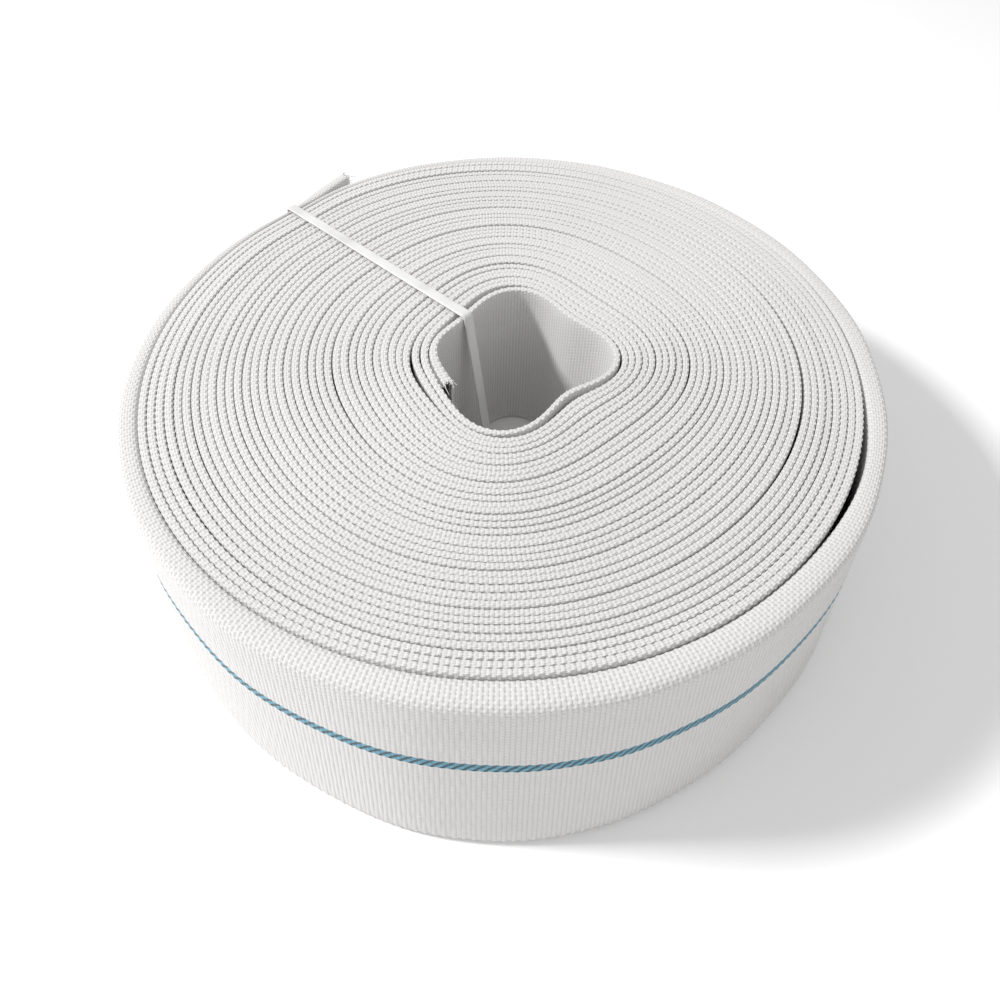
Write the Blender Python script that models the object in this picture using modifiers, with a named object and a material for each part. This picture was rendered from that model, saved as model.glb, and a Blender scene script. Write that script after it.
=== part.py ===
"""Rolled lay-flat fire hose, wound flat in one spiral and held by a nylon cable tie.

The hose stands on the edges of its turns, so the roll's height is the hose's flat width.
A woven jacket carries a thin bonded lining. Both are open at the two cut ends, one in the
core and one at the free tail, and are pressed flat in between. The tie passes through the
core, over the turns and down the outside, where its head locks it.

Metres, +Z up, the roll's underside on Z = 0. Seen from above, the hose is wound clockwise
from its core end outwards.
"""
import math

import bmesh
import bpy
from mathutils import Matrix, Vector

MM = 0.001

# The hose
FLAT_WIDTH = 84.0 * MM          # pressed flat: half the girth of a hose of 52 mm bore
FLAT_THICKNESS = 2.0 * MM       # both walls pressed together
JACKET_WALL = 0.75 * MM
LINING_WALL = 0.40 * MM
LINING_CLEARANCE = 0.30 * MM
LINING_SETBACK = 0.50 * MM      # how far the lining's end lies inside the jacket's cut

# The winding, from the core end outwards
FULL_TURNS = 36
CORE_RADIUS = 34.0 * MM         # mean inner radius of the innermost turn
TURN_GAP = 0.30 * MM
CORE_END_ANGLE = math.radians(209.0)
CORE_CENTRE = Vector((8.0 * MM, -9.0 * MM))
# The core is a squashed, four-cornered hole: (corners, height, angle of one corner)
CORE_LOBES = (
    (2, 2.0 * MM, math.radians(75.0)),
    (3, 2.5 * MM, math.radians(-3.0)),
    (4, 3.2 * MM, math.radians(-3.0)),
)
CORE_SLIT = 2.2 * MM            # where the last layer has sprung away from the next one
CORE_SLIT_SPANS = ((0.06, 0.42), (0.52, 0.92))      # in turns from the core end

# The outermost turn is loose and has filled out a little
OUTER_THICKNESS = 6.5 * MM
OUTER_SLACK = 1.2 * MM
OUTER_SWELL = 0.22              # turns over which it fills out, after the tie
OUTER_SHUT = 0.14               # turns over which it goes flat again, before the tie

# The two cut ends
TAIL_LENGTH = 40.0 * MM
TAIL_KICK = math.radians(4.0)
TAIL_MOUTH = 7.0 * MM
TAIL_POCKET = 15.0 * MM
TAIL_STATIONS = (0.34, 0.67, 1.0)   # shares of the tail's length
CORE_MOUTH = 5.2 * MM
CORE_MOUTH_SHUT = 0.12          # turns over which the core end's mouth closes
CORE_POCKET = 6.0 * MM

# The cable tie
TIE_ANGLE = math.radians(139.0)
TIE_WIDTH = 4.8 * MM
TIE_THICKNESS = 1.2 * MM
TIE_CLEARANCE = 0.30 * MM
TIE_FLOOR_GAP = 0.10 * MM
TIE_LEAN = 14.0 * MM            # how far the leg in the core leans off the wall
TIE_BEND = 1.8 * MM
HEAD_WIDTH = 8.2 * MM
HEAD_HEIGHT = 7.2 * MM
HEAD_DEPTH = 5.4 * MM
HEAD_EDGE = 0.7 * MM
HEAD_SLOT_DROP = 1.2 * MM       # the slot's height below the head's middle
# Heights above the head's middle where the strap starts, leaves the head, meets the hose
STRAP_START = 1.8 * MM
STRAP_LEAVES = 5.4 * MM
STRAP_MEETS = 10.1 * MM
SLOT_CLEARANCE = 0.35 * MM
TIP_BEND = 1.3 * MM
TIP_STUB = 0.6 * MM             # what is left of the tail where it was trimmed

# How finely the turns are drawn, and how closely they are measured
STEPS_PER_TURN = 20
OUTER_FINENESS = 2              # the outermost turn's steps are this many times shorter
BEND_STEPS = 4
PITCH_SAMPLES = 180
CROSSING_REACH = 0.06           # turns searched on either side of the tie
CROSSING_HALVINGS = 48

TAU = 2.0 * math.pi
TIE_TURN = FULL_TURNS + (CORE_END_ANGLE - TIE_ANGLE) / TAU
CLEAR_HALF_WIDTH = TIE_WIDTH / 2 + 2 * TIE_CLEARANCE
TIE_DIP = TIE_FLOOR_GAP + TIE_THICKNESS + 2 * TIE_CLEARANCE
TIE_DIRECTION = Vector((math.cos(TIE_ANGLE), math.sin(TIE_ANGLE)))
TIE_SIDE = Vector((-TIE_DIRECTION.y, TIE_DIRECTION.x))


def smooth(x):
    """Ease from 0 to 1 as x goes from 0 to 1."""
    x = min(max(x, 0.0), 1.0)
    return x * x * (3.0 - 2.0 * x)


def bump(x, low, high):
    """A smooth hump, 1 halfway between low and high and 0 outside them."""
    if not low < x < high:
        return 0.0
    return math.sin(math.pi * (x - low) / (high - low)) ** 2


def angle_at(turn):
    """Direction from the core, clockwise as the turns go outwards."""
    return CORE_END_ANGLE - TAU * turn


def core_lobes(angle):
    """How far the core's corners stand out from a circle about the core's own centre."""
    return sum(height * math.cos(count * (angle - corner))
               for count, height, corner in CORE_LOBES)


def core_lean(angle):
    """Slope of the innermost turn against a circle, as the tangent of the angle."""
    step = 1.0e-3
    rise = (core_lobes(angle + step) - core_lobes(angle - step)) / (2 * step)
    return rise / (CORE_RADIUS + FLAT_THICKNESS / 2)


def winding_pitch():
    """Radial distance between turns that leaves TURN_GAP between them all the way round.

    The core's outline fades out towards the outside, which brings the turns together
    where it bulges, and a turn that leans needs more room along the radius.
    """
    needed = []
    for step in range(PITCH_SAMPLES):
        angle = TAU * step / PITCH_SAMPLES
        ray = Vector((math.cos(angle), math.sin(angle)))
        room = (FLAT_THICKNESS + TURN_GAP) * math.hypot(1.0, core_lean(angle))
        closing = (core_lobes(angle) + CORE_CENTRE.dot(ray)) / TIE_TURN
        needed.append(room + closing)
    return max(needed)


PITCH = winding_pitch()


def thickness_at(turn):
    """The flat hose's thickness: open at the core end, flat, then filled out outside."""
    mouth = 1.0 - smooth(turn / CORE_MOUTH_SHUT)
    last = TIE_TURN - 1.0
    loose = smooth((turn - last) / OUTER_SWELL) * smooth((TIE_TURN - turn) / OUTER_SHUT)
    return (FLAT_THICKNESS + (CORE_MOUTH - FLAT_THICKNESS) * mouth
            + (OUTER_THICKNESS - FLAT_THICKNESS) * loose)


def centre_line(turn):
    """Point of the spiral, with the core's outline fading out towards the outside."""
    angle = angle_at(turn)
    ray = Vector((math.cos(angle), math.sin(angle)))
    fade = 1.0 - turn / TIE_TURN
    radius = CORE_RADIUS + FLAT_THICKNESS / 2 + PITCH * turn + core_lobes(angle) * fade
    radius -= CORE_SLIT * sum(bump(turn, low, high) for low, high in CORE_SLIT_SPANS)
    growth = (thickness_at(turn) - FLAT_THICKNESS) / 2
    if turn < CORE_MOUTH_SHUT:
        radius -= growth
    else:
        radius += growth + OUTER_SLACK * bump(turn, TIE_TURN - 1.0, TIE_TURN)
    return CORE_CENTRE * fade + ray * radius


def tangent_at(turn):
    """Unit direction of travel at a point of the spiral."""
    step = 1.0e-4
    low = max(turn - step, 0.0)
    high = min(turn + step, TIE_TURN)
    return (centre_line(high) - centre_line(low)).normalized()


def outward(tangent):
    """The side of the hose that faces away from the roll's axis."""
    return Vector((-tangent.y, tangent.x))


def crossing(turn, offset):
    """Where the spiral near this turn lies at an offset beside the tie's middle plane."""
    low, high = turn - CROSSING_REACH, turn + CROSSING_REACH
    for _ in range(CROSSING_HALVINGS):
        middle = (low + high) / 2
        if centre_line(middle).dot(TIE_SIDE) > offset:
            low = middle
        else:
            high = middle
    return (low + high) / 2


def tail_point(distance):
    """Point and direction of the free tail, which leaves the roll straight."""
    start = centre_line(TIE_TURN)
    tangent = tangent_at(TIE_TURN)
    kick = Matrix.Rotation(TAIL_KICK, 2)
    tangent = kick @ tangent
    return start + tangent * distance, tangent


def tail_thickness(distance):
    """The tail's walls part towards its cut end."""
    return FLAT_THICKNESS + (TAIL_MOUTH - FLAT_THICKNESS) * smooth(distance / TAIL_LENGTH)


def section(point, tangent, thickness, inset=0.0, dip=0.0):
    """The flat hose's cross-section: eight points, flats outside and rounded folds.

    A hose that fills out gets narrower, because its girth stays the same. inset shrinks
    the section all round, for the walls inside it, and dip lifts its underside.
    """
    width = FLAT_WIDTH - (math.pi / 2 - 1.0) * (thickness - FLAT_THICKNESS)
    half = thickness / 2 - inset
    low, high = dip + inset, width - inset
    across = outward(tangent)
    corners = (
        (half, low + half), (half, high - half), (half / 2, high), (-half / 2, high),
        (-half, high - half), (-half, low + half), (-half / 2, low), (half / 2, low),
    )
    return [Vector((*(point + across * side), height)) for side, height in corners]


def stations():
    """Every cross-section's (point, tangent, thickness, dip), from the core end out."""
    rows = [(centre_line(0.0), tangent_at(0.0), thickness_at(0.0), 0.0)]
    first = TIE_TURN - FULL_TURNS
    lead = int(first * STEPS_PER_TURN) * OUTER_FINENESS
    per_turn = STEPS_PER_TURN * OUTER_FINENESS
    for step in range(-lead, FULL_TURNS * per_turn + 1):
        if step % OUTER_FINENESS and step < (FULL_TURNS - 1) * per_turn:
            continue
        turn = first + step / per_turn
        if step % per_turn:
            rows.append((centre_line(turn), tangent_at(turn), thickness_at(turn), 0.0))
            continue
        offsets = (CLEAR_HALF_WIDTH, -CLEAR_HALF_WIDTH)
        if step == FULL_TURNS * per_turn:
            offsets = offsets[:1]
        for offset in offsets:
            at = crossing(turn, offset)
            rows.append((centre_line(at), tangent_at(at), thickness_at(at), TIE_DIP))
    stops = [CLEAR_HALF_WIDTH] + [TAIL_LENGTH * share for share in TAIL_STATIONS]
    for number, distance in enumerate(stops):
        point, tangent = tail_point(distance)
        rows.append((point, tangent, tail_thickness(distance), 0.0 if number else TIE_DIP))
    return rows


def tail_rings(depths, inset):
    """Sections inside the tail, at these depths from its cut end."""
    rings = []
    for depth in depths:
        point, tangent = tail_point(TAIL_LENGTH - depth)
        rings.append(section(point, tangent, tail_thickness(TAIL_LENGTH - depth), inset))
    return rings


def core_rings(depths, inset):
    """Sections inside the core end, at these depths from its cut end."""
    rings = []
    for depth in depths:
        turn = depth / (TAU * (CORE_RADIUS + FLAT_THICKNESS / 2))
        rings.append(section(centre_line(turn), tangent_at(turn), thickness_at(turn), inset))
    return rings


def loft(name, rings, closed=False):
    """Skin a row of sections, capped at its two ends or joined into a ring."""
    mesh = bpy.data.meshes.new(name)
    bm = bmesh.new()
    loops = [[bm.verts.new(corner) for corner in ring] for ring in rings]
    pairs = list(zip(loops, loops[1:]))
    if closed:
        pairs.append((loops[-1], loops[0]))
    for near, far in pairs:
        for index, corner in enumerate(near):
            after = (index + 1) % len(near)
            bm.faces.new((corner, near[after], far[after], far[index]))
    if not closed:
        bm.faces.new(loops[0])
        bm.faces.new(loops[-1])
    bmesh.ops.recalc_face_normals(bm, faces=bm.faces)
    bm.to_mesh(mesh)
    bm.free()
    return bpy.data.objects.new(name, mesh)


def make_jacket():
    """The woven jacket, solid where it is pressed flat and hollow at its two cut ends."""
    body = [section(point, tangent, thickness, dip=dip)
            for point, tangent, thickness, dip in stations()]
    core_pocket = core_rings((CORE_POCKET, CORE_POCKET / 2, 0.0), JACKET_WALL)
    tail_pocket = tail_rings((0.0, TAIL_POCKET / 2, TAIL_POCKET), JACKET_WALL)
    return loft("woven_jacket", core_pocket + body + tail_pocket)


def make_lining(name, rings_at, pocket):
    """The lining's open end: a thin tube along the inside of the jacket's mouth."""
    floor = pocket - LINING_CLEARANCE
    depths = (LINING_SETBACK, (LINING_SETBACK + floor) / 2, floor)
    outside = rings_at(depths, JACKET_WALL + LINING_CLEARANCE)
    inside = rings_at(depths, JACKET_WALL + LINING_CLEARANCE + LINING_WALL)
    return loft(name, outside + inside[::-1], closed=True)


def tie_reach(turn):
    """Nearest and farthest the hose comes, along the tie's plane, across the tie's width."""
    reaches = []
    for offset in (-CLEAR_HALF_WIDTH, CLEAR_HALF_WIDTH):
        at = crossing(turn, offset)
        across = outward(tangent_at(at))
        half = thickness_at(at) / 2 / across.dot(TIE_DIRECTION)
        middle = centre_line(at).dot(TIE_DIRECTION)
        reaches += [middle - half, middle + half]
    return min(reaches), max(reaches)


def fillet(path, radii):
    """Round the inner corners of a path of points, each with its own radius."""
    rounded = [path[0]]
    for before, corner, after, radius in zip(path, path[1:], path[2:], radii):
        arriving = (before - corner).normalized()
        leaving = (after - corner).normalized()
        half = arriving.angle(leaving) / 2
        inner = corner + (arriving + leaving).normalized() * radius / math.sin(half)
        start = corner + arriving * radius / math.tan(half) - inner
        sweep = start.angle_signed(corner + leaving * radius / math.tan(half) - inner)
        for step in range(BEND_STEPS + 1):
            turned = Matrix.Rotation(-sweep * step / BEND_STEPS, 2) @ start
            rounded.append(inner + turned)
    rounded.append(path[-1])
    return rounded


def band_outline(path, thickness):
    """Outline of a strip that follows a path, seen on its edge."""
    sides = ([], [])
    for index, point in enumerate(path):
        before = path[max(index - 1, 0)]
        after = path[min(index + 1, len(path) - 1)]
        incoming = (point - before).normalized() if index else (after - point).normalized()
        leaving = (after - point).normalized() if after != point else incoming
        along = (incoming + leaving).normalized()
        across = Vector((-along.y, along.x)) * thickness / 2 / along.dot(incoming)
        sides[0].append(point + across)
        sides[1].append(point - across)
    return sides[0] + sides[1][::-1]


def plate(name, outline, width):
    """A flat outline in the tie's plane, as thick as the tie is wide."""
    curve = bpy.data.curves.new(name, "CURVE")
    curve.dimensions = "2D"
    curve.fill_mode = "BOTH"
    curve.extrude = width / 2
    spline = curve.splines.new("POLY")
    spline.points.add(len(outline) - 1)
    for corner, point in zip(spline.points, outline):
        corner.co = (point.x, point.y, 0.0, 1.0)
    spline.use_cyclic_u = True
    holder = bpy.data.objects.new(name + "_outline", curve)
    bpy.context.scene.collection.objects.link(holder)
    graph = bpy.context.evaluated_depsgraph_get()
    mesh = bpy.data.meshes.new_from_object(holder.evaluated_get(graph))
    bpy.data.objects.remove(holder)
    bm = bmesh.new()
    bm.from_mesh(mesh)
    bmesh.ops.remove_doubles(bm, verts=bm.verts, dist=1.0e-6)
    bmesh.ops.recalc_face_normals(bm, faces=bm.faces)
    bm.to_mesh(mesh)
    bm.free()
    mesh.name = name
    return bpy.data.objects.new(name, mesh)


def block(name, size, centre):
    """A rectangular block about a centre."""
    mesh = bpy.data.meshes.new(name)
    bm = bmesh.new()
    bmesh.ops.create_cube(bm, size=1.0)
    bmesh.ops.scale(bm, vec=Vector(size), verts=bm.verts)
    bmesh.ops.translate(bm, vec=Vector(centre), verts=bm.verts)
    bm.to_mesh(mesh)
    bm.free()
    return bpy.data.objects.new(name, mesh)


def cut_or_join(target, tool, operation):
    """Add an exact boolean with a tool that is kept out of sight."""
    modifier = target.modifiers.new(tool.name, "BOOLEAN")
    modifier.operation = operation
    modifier.solver = "EXACT"
    modifier.object = tool
    tool.hide_render = True
    tool.display_type = "WIRE"


def make_tie(parts, cutters):
    """The cable tie, modelled on its own plane: X runs outwards and Y upwards."""
    inner = tie_reach(TIE_TURN - FULL_TURNS)[0] - TIE_CLEARANCE - TIE_THICKNESS / 2
    outer = tie_reach(TIE_TURN)[1] + TIE_CLEARANCE + TIE_THICKNESS / 2
    top = FLAT_WIDTH + TIE_CLEARANCE + TIE_THICKNESS / 2
    bottom = TIE_FLOOR_GAP + TIE_THICKNESS / 2
    head_inner = outer + TIE_THICKNESS / 2 + SLOT_CLEARANCE
    head_outer = head_inner + HEAD_DEPTH
    middle = FLAT_WIDTH / 2
    slot = middle - HEAD_SLOT_DROP
    root = head_inner + TIE_THICKNESS
    path = [
        Vector((root, middle + STRAP_START)),
        Vector((root, middle + STRAP_LEAVES)),
        Vector((outer, middle + STRAP_MEETS)),
        Vector((outer, top)),
        Vector((inner, top)),
        Vector((inner - TIE_LEAN, bottom)),
        Vector((outer, bottom)),
        Vector((outer, slot)),
        Vector((head_outer + TIP_STUB, slot)),
    ]
    radii = [TIE_BEND] * (len(path) - 3) + [TIP_BEND]
    tie = plate("cable_tie", band_outline(fillet(path, radii), TIE_THICKNESS), TIE_WIDTH)
    head = block("tie_head_block", (HEAD_DEPTH, HEAD_HEIGHT, HEAD_WIDTH),
                 ((head_inner + head_outer) / 2, middle, 0.0))
    bevel = head.modifiers.new("moulded_edge", "BEVEL")
    bevel.width = HEAD_EDGE
    bevel.segments = 2
    slot_cut = block("tie_slot", (2 * HEAD_DEPTH, TIE_THICKNESS + 2 * SLOT_CLEARANCE,
                                  TIE_WIDTH + 2 * SLOT_CLEARANCE), (head_outer, slot, 0.0))
    parts.objects.link(tie)
    for tool in (head, slot_cut):
        cutters.objects.link(tool)
    cut_or_join(head, slot_cut, "DIFFERENCE")
    cut_or_join(tie, head, "UNION")
    across = Vector((TIE_DIRECTION.x, TIE_DIRECTION.y, 0.0))
    up = Vector((0.0, 0.0, 1.0))
    stand = Matrix((across, up, across.cross(up))).transposed().to_4x4()
    for piece in (tie, head, slot_cut):
        piece.matrix_world = stand
    return tie


def paint(piece, name, colour, roughness):
    """Give a piece its own plain material."""
    material = bpy.data.materials.new(name)
    material.use_nodes = True
    shader = material.node_tree.nodes["Principled BSDF"]
    shader.inputs["Base Color"].default_value = (*colour, 1.0)
    shader.inputs["Roughness"].default_value = roughness
    shader.inputs["Metallic"].default_value = 0.0
    piece.data.materials.clear()
    piece.data.materials.append(material)


def centre_on_origin(pieces, holder):
    """Move everything so that the middle of its outer box stands over the origin."""
    bpy.context.view_layer.update()
    graph = bpy.context.evaluated_depsgraph_get()
    corners = []
    for piece in pieces:
        shown = piece.evaluated_get(graph)
        corners += [piece.matrix_world @ vertex.co for vertex in shown.data.vertices]
    for axis in range(2):
        along = [corner[axis] for corner in corners]
        holder.location[axis] = -(min(along) + max(along)) / 2


def collection(name):
    """A new collection in the scene."""
    made = bpy.data.collections.new(name)
    bpy.context.scene.collection.children.link(made)
    return made


def main():
    """Build the roll."""
    for old in list(bpy.data.objects):
        bpy.data.objects.remove(old)
    parts = collection("rolled_fire_hose")
    cutters = collection("cutters")
    holder = bpy.data.objects.new("roll", None)
    parts.objects.link(holder)

    jacket = make_jacket()
    tail_lining = make_lining("lining_tail_end", tail_rings, TAIL_POCKET)
    core_lining = make_lining("lining_core_end", core_rings, CORE_POCKET)
    for piece in (jacket, tail_lining, core_lining):
        parts.objects.link(piece)
    tie = make_tie(parts, cutters)

    paint(jacket, "white_woven_polyester", (0.86, 0.86, 0.84), 0.85)
    paint(tail_lining, "pvc_lining_tail", (0.16, 0.16, 0.16), 0.55)
    paint(core_lining, "pvc_lining_core", (0.16, 0.16, 0.16), 0.55)
    paint(tie, "natural_nylon", (0.88, 0.88, 0.86), 0.4)

    pieces = (jacket, tail_lining, core_lining, tie)
    centre_on_origin(pieces, holder)
    for piece in (*pieces, *cutters.objects):
        piece.parent = holder


main()
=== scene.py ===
"""The looks of a rolled lay-flat fire hose: woven jacket, lining, frayed ends and cable tie.

Every length is in metres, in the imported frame: +Z up, the roll's underside on Z = 0. Seen
from above, the hose is wound clockwise from its core end outwards, and its free tail lies
behind the cable tie, at the back left.
"""
from __future__ import annotations

import logging
import math
from dataclasses import dataclass, field, replace
from enum import Enum
from typing import Any, Iterable, Sequence

import bpy
import numpy as np
from mathutils import Matrix, Vector

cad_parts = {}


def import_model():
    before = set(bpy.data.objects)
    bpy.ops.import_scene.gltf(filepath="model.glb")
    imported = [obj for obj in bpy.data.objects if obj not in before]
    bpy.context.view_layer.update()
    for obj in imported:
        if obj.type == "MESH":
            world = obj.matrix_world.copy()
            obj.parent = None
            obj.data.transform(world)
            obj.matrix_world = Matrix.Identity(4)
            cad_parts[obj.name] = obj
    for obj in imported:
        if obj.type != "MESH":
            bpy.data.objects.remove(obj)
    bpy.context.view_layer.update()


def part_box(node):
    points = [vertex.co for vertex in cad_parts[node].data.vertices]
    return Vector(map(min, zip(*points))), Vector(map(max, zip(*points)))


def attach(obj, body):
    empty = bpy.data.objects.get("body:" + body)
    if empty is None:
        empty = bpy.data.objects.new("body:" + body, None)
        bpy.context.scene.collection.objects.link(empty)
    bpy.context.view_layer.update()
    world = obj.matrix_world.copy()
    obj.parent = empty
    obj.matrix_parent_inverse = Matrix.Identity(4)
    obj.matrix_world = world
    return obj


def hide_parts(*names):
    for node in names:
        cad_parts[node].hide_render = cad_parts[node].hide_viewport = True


MM = 0.001
TAU = 2.0 * math.pi
BODY = "root"
Array = np.ndarray

log = logging.getLogger("fire_hose")


# ---------------------------------------------------------------- small maths


def ease(x: Array) -> Array:
    """Go smoothly from 0 to 1 as x does: 3x² - 2x³, held at the ends.

    Args:
        x: any numbers.

    Returns:
        The eased numbers, from 0 to 1.
    """
    held = np.clip(x, 0.0, 1.0)
    return held * held * (3.0 - 2.0 * held)


def hump(x: Array, low: float, high: float) -> Array:
    """Rise to 1 halfway between low and high and fall back: the square of a half sine.

    Args:
        x: any numbers.
        low: where the hump starts.
        high: where the hump ends.

    Returns:
        Numbers from 0 to 1, and 0 outside low to high.
    """
    inside = np.clip((x - low) / (high - low), 0.0, 1.0)
    return np.sin(math.pi * inside) ** 2


def round_the_circle(angle: Array, middle: float, spread: float) -> Array:
    """A soft bell round a circle: exp of (cos of the angle from its middle, less 1) / spread².

    Args:
        angle: directions in radians.
        middle: the bell's direction in radians.
        spread: its half width in radians.

    Returns:
        Numbers from 0 to 1.
    """
    return np.exp((np.cos(angle - middle) - 1.0) / spread ** 2)


def soft_power(x: Array, power: float) -> Array:
    """x to a power with its sign kept, which squares a circle into a superellipse."""
    return np.sign(x) * np.abs(x) ** power


# ---------------------------------------------------------------- shader graphs


class Value:
    """A number in a material, so that shader maths is written as Python expressions."""

    def __init__(self, graph: Graph, socket: bpy.types.NodeSocket) -> None:
        """Wrap a socket of a graph."""
        self.graph = graph
        self.socket = socket

    def _maths(self, operation: str, *operands: Any) -> Value:
        """Add a Math node on these operands."""
        node = self.graph.node(
            "ShaderNodeMath", {"operation": operation}, dict(enumerate(operands))
        )
        return Value(self.graph, node.outputs[0])

    def __add__(self, other: Any) -> Value:
        """Sum."""
        return self._maths("ADD", self, other)

    __radd__ = __add__

    def __sub__(self, other: Any) -> Value:
        """Difference."""
        return self._maths("SUBTRACT", self, other)

    def __rsub__(self, other: Any) -> Value:
        """Difference with this value on the right."""
        return self._maths("SUBTRACT", other, self)

    def __mul__(self, other: Any) -> Value:
        """Product."""
        return self._maths("MULTIPLY", self, other)

    __rmul__ = __mul__

    def __abs__(self) -> Value:
        """Size without sign."""
        return self._maths("ABSOLUTE", self)

    def __lt__(self, other: Any) -> Value:
        """1 where this is less than the other, else 0."""
        return self._maths("LESS_THAN", self, other)

    def cosine(self) -> Value:
        """Cosine."""
        return self._maths("COSINE", self)

    def between(self, low: float, high: float) -> Value:
        """Go smoothly from 0 at low to 1 at high."""
        node = self.graph.node(
            "ShaderNodeMapRange",
            {"interpolation_type": "SMOOTHSTEP"},
            {"Value": self, "From Min": low, "From Max": high},
        )
        return Value(self.graph, node.outputs["Result"])


class Graph:
    """A material's node tree."""

    def __init__(self, name: str) -> None:
        """Start a material with one Principled surface.

        Args:
            name: the material's name.
        """
        self.material = bpy.data.materials.new(name)
        self.material.use_nodes = True
        self.tree = self.material.node_tree
        self.surface = self.tree.nodes["Principled BSDF"]

    def node(
        self,
        kind: str,
        settings: dict[str, Any] | None = None,
        inputs: dict[str | int, Any] | None = None,
    ) -> bpy.types.Node:
        """Add a node, set it up, then fill its sockets.

        Args:
            kind: the node's type name.
            settings: properties that are set first.
            inputs: values, Values or sockets for its inputs, by name or place.

        Returns:
            The new node.
        """
        made = self.tree.nodes.new(kind)
        for key, value in (settings or {}).items():
            setattr(made, key, value)
        for key, value in (inputs or {}).items():
            self.feed(made.inputs[key], value)
        return made

    def feed(self, socket: bpy.types.NodeSocket, value: Any) -> None:
        """Link a Value or socket to an input, or set a plain value on it."""
        if isinstance(value, Value):
            value = value.socket
        if isinstance(value, bpy.types.NodeSocket):
            self.tree.links.new(value, socket)
        else:
            socket.default_value = value

    def weave_coordinates(self) -> tuple[Value, Value]:
        """The piece's UV map: along the hose in weft yarns, and round it in warp yarns."""
        where = self.node("ShaderNodeTexCoord")
        parts = self.node("ShaderNodeSeparateXYZ", None, {0: where.outputs["UV"]})
        return Value(self, parts.outputs[0]), Value(self, parts.outputs[1])

    def noise(self, scale: float, detail: float, stretch: Sequence[float] = (1, 1, 1)) -> Value:
        """Cloudy noise in the object's own space.

        Args:
            scale: features per metre.
            detail: how many finer layers it has.
            stretch: how much each axis is multiplied first.

        Returns:
            Numbers about 0.5.
        """
        where = self.node("ShaderNodeTexCoord")
        placed = self.node(
            "ShaderNodeMapping", None, {"Vector": where.outputs["Object"], "Scale": stretch}
        )
        made = self.node(
            "ShaderNodeTexNoise",
            None,
            {"Vector": placed.outputs[0], "Scale": scale, "Detail": detail},
        )
        return Value(self, made.outputs[0])

    def mix(self, share: Any, first: Any, second: Any) -> bpy.types.NodeSocket:
        """Blend two colours.

        Args:
            share: how much of the second colour.
            first: a colour or colour socket.
            second: a colour or colour socket.

        Returns:
            The blended colour's socket.
        """
        made = self.node("ShaderNodeMix", {"data_type": "RGBA"})
        colours = [socket for socket in made.inputs if socket.type == "RGBA"]
        self.feed(made.inputs["Factor"], share)
        self.feed(colours[0], first)
        self.feed(colours[1], second)
        return next(socket for socket in made.outputs if socket.type == "RGBA")

    def bump(self, height: Value, distance: float, strength: float = 1.0) -> None:
        """Raise the surface by a height from 0 to 1 times a distance in metres."""
        made = self.node(
            "ShaderNodeBump",
            None,
            {"Height": height, "Distance": distance, "Strength": strength},
        )
        self.feed(self.surface.inputs["Normal"], made.outputs[0])


# ---------------------------------------------------------------- finishes


def shade(red: float, green: float, blue: float) -> tuple[float, float, float, float]:
    """A colour with its alpha."""
    return (red, green, blue, 1.0)


@dataclass(frozen=True)
class WovenPolyester:
    """Plain-woven white polyester: thick weft ribs crossed by warp yarns."""

    name: str
    yarn: tuple[float, float, float, float] = shade(0.68, 0.668, 0.662)
    # painted shade: the darker colour given to the pits between the yarns
    pit_shade: tuple[float, float, float, float] = shade(0.34, 0.33, 0.325)
    marker_light: tuple[float, float, float, float] = shade(0.085, 0.30, 0.42)
    marker_dark: tuple[float, float, float, float] = shade(0.010, 0.055, 0.075)
    marker_ends: float = 2.2
    marker_place: float = 11.0
    marker: bool = False
    relief: float = 0.36 * MM

    def material(self) -> bpy.types.Material:
        """Build the weave: ribs, knuckles where warp passes over weft, and a marker line.

        The height is the weft ribs' rounded backs, raised and lowered in a chequer by the
        cosine of one yarn times the cosine of the other, with fine strands on top. Where the
        height is low, the colour is painted darker as shade in the pits between the yarns.

        Returns:
            The material.
        """
        graph = Graph(self.name)
        weft, warp = graph.weave_coordinates()
        rib = abs((weft * math.pi).cosine())
        end = abs((warp * math.pi).cosine())
        chequer = (weft * math.pi).cosine() * (warp * math.pi).cosine()
        strand = abs((weft * (5.0 * math.pi) + warp * (0.6 * math.pi)).cosine())
        height = rib * 0.38 + end * 0.24 + chequer * 0.18 + strand * 0.05 + 0.15
        graph.bump(height, self.relief)

        # painted shade: where the height is low, the colour darkens towards the pit colour,
        # standing in for shade that the bump alone can't cast
        pit_shade_share = 1.0 - height.between(0.18, 0.55)
        tone = graph.noise(14.0, 3.0)
        cloth = graph.mix(tone.between(0.35, 0.7), self.yarn, tuple(
            0.965 * channel for channel in self.yarn[:3]) + (1.0,))
        colour = graph.mix(pit_shade_share * 0.7, cloth, self.pit_shade)
        if self.marker:
            band = abs(warp - self.marker_place) < self.marker_ends
            slant = (weft * math.pi + warp * (0.55 * math.pi)).cosine()
            yarns = graph.mix(slant.between(0.0, 0.3), self.marker_light, self.marker_dark)
            colour = graph.mix(band, colour, yarns)
        graph.feed(graph.surface.inputs["Base Color"], colour)
        graph.surface.inputs["Roughness"].default_value = 0.82
        graph.surface.inputs["Sheen Weight"].default_value = 0.25
        graph.surface.inputs["Sheen Roughness"].default_value = 0.6
        graph.surface.inputs["Specular IOR Level"].default_value = 0.25
        return graph.material


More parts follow.
